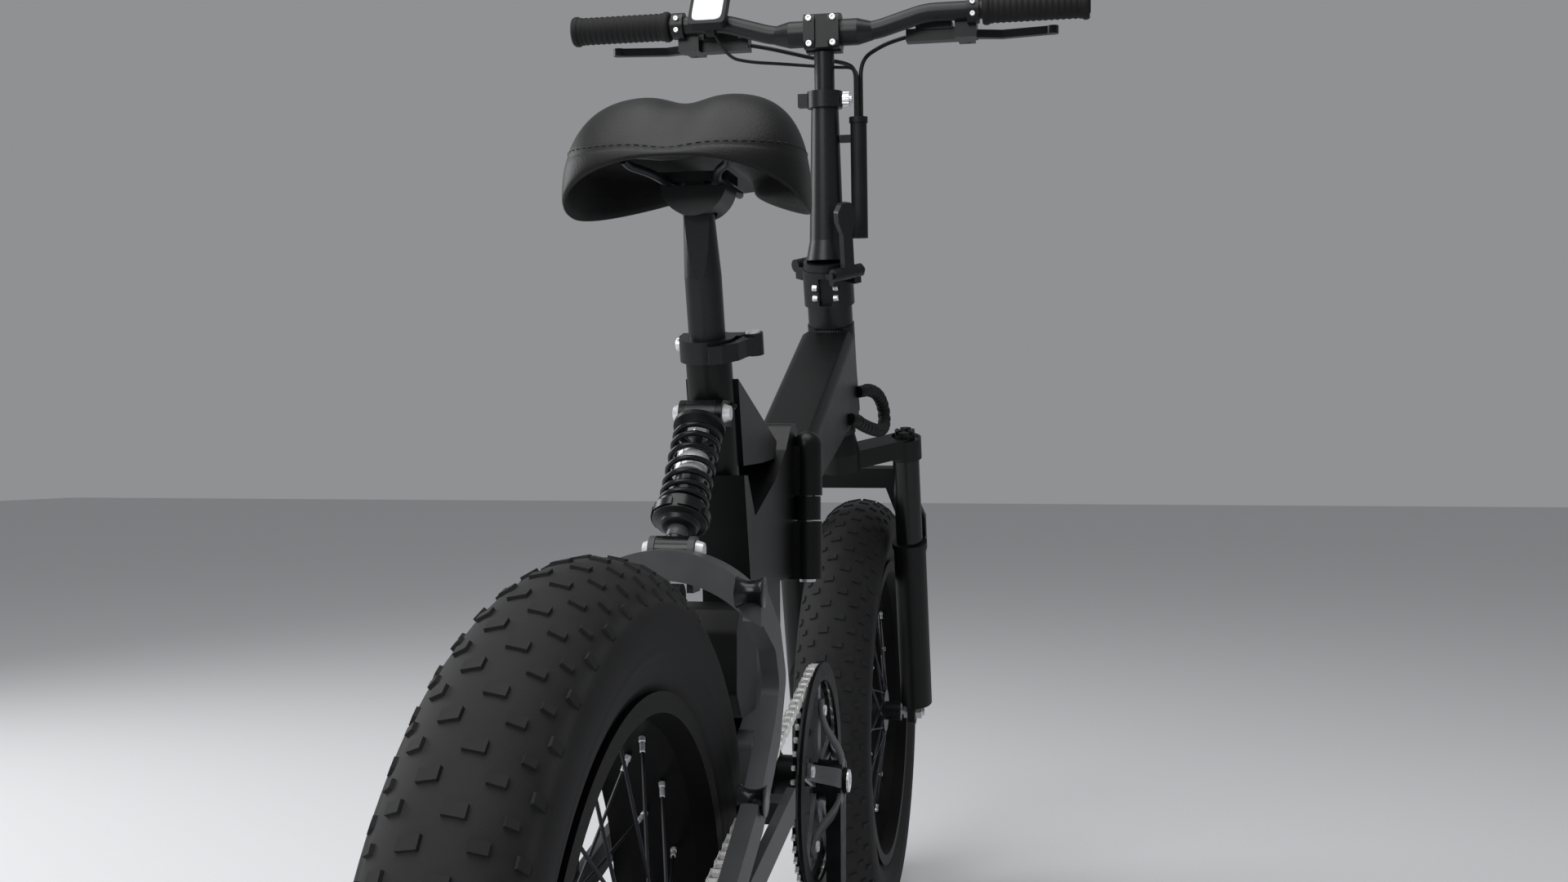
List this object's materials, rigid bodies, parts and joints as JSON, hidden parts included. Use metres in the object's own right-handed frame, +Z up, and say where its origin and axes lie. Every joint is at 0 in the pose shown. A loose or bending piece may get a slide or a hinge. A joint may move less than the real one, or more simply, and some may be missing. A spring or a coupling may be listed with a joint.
{
  "type": "fat tire bike",
  "caption": "Folding fat tire bike with a box beam frame, telescopic fork, coil-over rear swingarm, rear hub motor, chain drive, disc brakes and a folding telescopic stem.",
  "frame": {"origin": "on the ground midway between the two axles, in the plane of the wheels", "axes": "X forward, Y to the rider's left, Z up"},
  "size_m": [1.794, 0.636, 1.2329],
  "materials": {
    "frame_paint": "satin black powder coat on aluminium",
    "fork_paint": "satin black paint on cast magnesium",
    "stanchion_black": "black hard anodised tube",
    "black_anodised": "satin black anodised",
    "grey_paint": "satin dark grey paint on aluminium",
    "tyre_rubber": "matt black moulded rubber",
    "rim_black": "satin black anodised",
    "spoke_black": "black oxide wire",
    "bright_steel": "bright zinc plated",
    "disc_steel": "ground stainless steel",
    "chain_steel": "nickel plated",
    "spring_black": "gloss black powder coat on spring wire",
    "grip_rubber": "matt black grip rubber",
    "hose_black": "satin black hose",
    "black_plastic": "fine textured black",
    "display_plastic": "black case with a pale screen",
    "saddle_skin": "black grained vinyl cover",
    "battery_plastic": "dark grey"
  },
  "bodies": {
    "rear_frame": {"rear_frame": "frame_paint", "frame_pins": "bright_steel", "controller_box": "black_plastic", "seat_clamp": "black_anodised", "bottom_bracket_cups": "black_anodised", "chain": "chain_steel"},
    "front_frame": {"main_beam": "frame_paint", "battery_pack": "battery_plastic", "headset_cups": "black_anodised", "harness_loop": "black_plastic"},
    "frame_latch": {"frame_latch_lever": "black_anodised"},
    "steering": {"fork_crown": "fork_paint", "fork_stanchions": "stanchion_black", "stem_base": "black_anodised"},
    "lockout": {"lockout_knob": "black_plastic"},
    "fork_lowers": {"fork_lowers": "fork_paint", "front_axle": "bright_steel", "front_brake_caliper": "black_anodised"},
    "front_wheel": {"front_tyre": "tyre_rubber", "front_rim": "rim_black", "front_spokes": "spoke_black", "front_hub": "black_anodised", "front_brake_disc": "disc_steel"},
    "stem_riser": {"stem_riser": "black_anodised", "riser_collar": "black_anodised", "cable_sleeve": "black_plastic"},
    "stem_latch": {"stem_latch_lever": "black_anodised"},
    "collar_knob": {"collar_knob": "bright_steel"},
    "handlebar": {"handlebar_post": "black_anodised", "stem_faceplate": "black_anodised", "handlebar": "black_anodised", "grips": "grip_rubber", "brake_masters": "black_anodised", "display": "display_plastic", "brake_hoses": "hose_black"},
    "brake_lever_left": {"brake_lever_left": "black_anodised"},
    "brake_lever_right": {"brake_lever_right": "black_anodised"},
    "seatpost": {"seat_post": "black_anodised", "saddle_clamp": "black_anodised", "saddle_rails": "spoke_black", "saddle": "saddle_skin"},
    "seat_lever": {"seat_qr_lever": "black_anodised"},
    "swingarm": {"swingarm": "grey_paint", "swingarm_pins": "bright_steel", "rear_brake_caliper": "black_anodised", "rack_bosses": "frame_paint"},
    "rear_wheel": {"rear_tyre": "tyre_rubber", "rear_rim": "rim_black", "rear_spokes": "spoke_black", "hub_motor": "black_anodised", "rear_brake_disc": "disc_steel"},
    "shock_rod": {"shock_rod": "bright_steel", "shock_spring": "spring_black"},
    "shock_body": {"shock_body": "black_anodised"},
    "crankset": {"crank_arms": "grey_paint", "chainring": "black_anodised"},
    "pedal_left": {"pedal_left": "black_plastic"},
    "pedal_right": {"pedal_right": "black_plastic"},
    "freewheel": {"freewheel": "spoke_black"},
    "kickstand": {"kickstand": "black_anodised"}
  },
  "joints": [
    {"name": "frame_fold", "type": "hinge", "parent": "rear_frame", "child": "front_frame", "pos_m": [-0.045, -0.042, 0.605], "axis": [0, 0, 1], "range_deg": [-150, 0]},
    {"name": "frame_latch_turn", "type": "hinge", "parent": "rear_frame", "child": "frame_latch", "pos_m": [-0.061, 0.041, 0.63], "axis": [0, 0, 1], "range_deg": [-110, 0]},
    {"name": "steering", "type": "hinge", "parent": "front_frame", "child": "steering", "pos_m": [0.39, 0, 0.697], "axis": [-0.3469, 0, 0.9379], "range_deg": [-60, 60]},
    {"name": "lockout_turn", "type": "hinge", "parent": "steering", "child": "lockout", "pos_m": [0.45949, -0.079, 0.67686], "axis": [-0.3469, 0, 0.9379], "range_deg": [0, 90]},
    {"name": "fork_travel", "type": "slide", "parent": "steering", "child": "fork_lowers", "axis": [-0.3469, 0, 0.9379], "range_m": [0, 0.06], "stiffness_N_per_m": 9000, "springref_m": -0.03},
    {"name": "front_wheel_spin", "type": "hinge", "parent": "fork_lowers", "child": "front_wheel", "pos_m": [0.6, 0, 0.297], "axis": [0, 1, 0], "continuous": true},
    {"name": "stem_fold", "type": "hinge", "parent": "steering", "child": "stem_riser", "pos_m": [0.34645, 0.02828, 0.89627], "axis": [-0.6632, 0.7071, -0.2453], "range_deg": [0, 100]},
    {"name": "stem_latch_turn", "type": "hinge", "parent": "steering", "child": "stem_latch", "pos_m": [0.29339, -0.02828, 0.87664], "axis": [-0.6632, 0.7071, -0.2453], "range_deg": [-110, 0]},
    {"name": "collar_knob_turn", "type": "hinge", "parent": "stem_riser", "child": "collar_knob", "pos_m": [0.29978, -0.03, 1.08844], "axis": [0, 1, 0], "range_deg": [0, 360]},
    {"name": "handlebar_height", "type": "slide", "parent": "stem_riser", "child": "handlebar", "axis": [-0.0872, 0, 0.9962], "range_m": [-0.015, 0.03]},
    {"name": "brake_left", "type": "hinge", "parent": "handlebar", "child": "brake_lever_left", "pos_m": [0.33864, 0.172, 1.17214], "axis": [-0.0872, 0, 0.9962], "range_deg": [0, 15], "stiffness_Nm_per_rad": 1.5, "springref_deg": -11.46},
    {"name": "brake_right", "type": "hinge", "parent": "handlebar", "child": "brake_lever_right", "pos_m": [0.33864, -0.172, 1.17214], "axis": [0.0872, 0, -0.9962], "range_deg": [0, 15], "stiffness_Nm_per_rad": 1.5, "springref_deg": -11.46},
    {"name": "seat_height", "type": "slide", "parent": "rear_frame", "child": "seatpost", "axis": [-0.2756, 0, 0.9613], "range_m": [-0.045, 0.06]},
    {"name": "seat_lever_turn", "type": "hinge", "parent": "rear_frame", "child": "seat_lever", "pos_m": [-0.26521, -0.0358, 0.75161], "axis": [-0.2756, 0, 0.9613], "range_deg": [0, 110]},
    {"name": "swingarm_pivot", "type": "hinge", "parent": "rear_frame", "child": "swingarm", "pos_m": [-0.26, 0, 0.408], "axis": [0, 1, 0], "range_deg": [0, 6], "stiffness_Nm_per_rad": 900, "springref_deg": -14.32},
    {"name": "rear_wheel_spin", "type": "hinge", "parent": "swingarm", "child": "rear_wheel", "pos_m": [-0.6, 0, 0.297], "axis": [0, 1, 0], "continuous": true},
    {"name": "shock_rod_swing", "type": "hinge", "parent": "rear_frame", "child": "shock_rod", "pos_m": [-0.3, 0, 0.692], "axis": [0, 1, 0], "range_deg": [-6, 6]},
    {"name": "shock_stroke", "type": "slide", "parent": "shock_rod", "child": "shock_body", "axis": [0.636, 0, 0.7717], "range_m": [-0.002, 0.03], "deforming": ["shock_spring"]},
    {"name": "crank_spin", "type": "hinge", "parent": "rear_frame", "child": "crankset", "pos_m": [-0.097, 0, 0.348], "axis": [0, 1, 0], "continuous": true, "deforming": ["chain"]},
    {"name": "pedal_left_spin", "type": "hinge", "parent": "crankset", "child": "pedal_left", "pos_m": [-0.097, 0.14, 0.518], "axis": [0, 1, 0], "continuous": true},
    {"name": "pedal_right_spin", "type": "hinge", "parent": "crankset", "child": "pedal_right", "pos_m": [-0.097, -0.14, 0.178], "axis": [0, 1, 0], "continuous": true},
    {"name": "freewheel_spin", "type": "hinge", "parent": "swingarm", "child": "freewheel", "pos_m": [-0.6, -0.057, 0.297], "axis": [0, 1, 0], "continuous": true},
    {"name": "kickstand_swing", "type": "hinge", "parent": "swingarm", "child": "kickstand", "pos_m": [-0.44, 0.096, 0.338], "axis": [0, 0.9728, 0.2317], "range_deg": [0, 75]}
  ],
  "couplings": [
    {"joint": "freewheel_spin", "follows": "crank_spin", "ratio": 2.8889},
    {"joint": "shock_rod_swing", "follows": "swingarm_pivot", "ratio": -0.5475},
    {"joint": "shock_stroke", "follows": "swingarm_pivot", "m_per_rad": 0.20642}
  ]
}
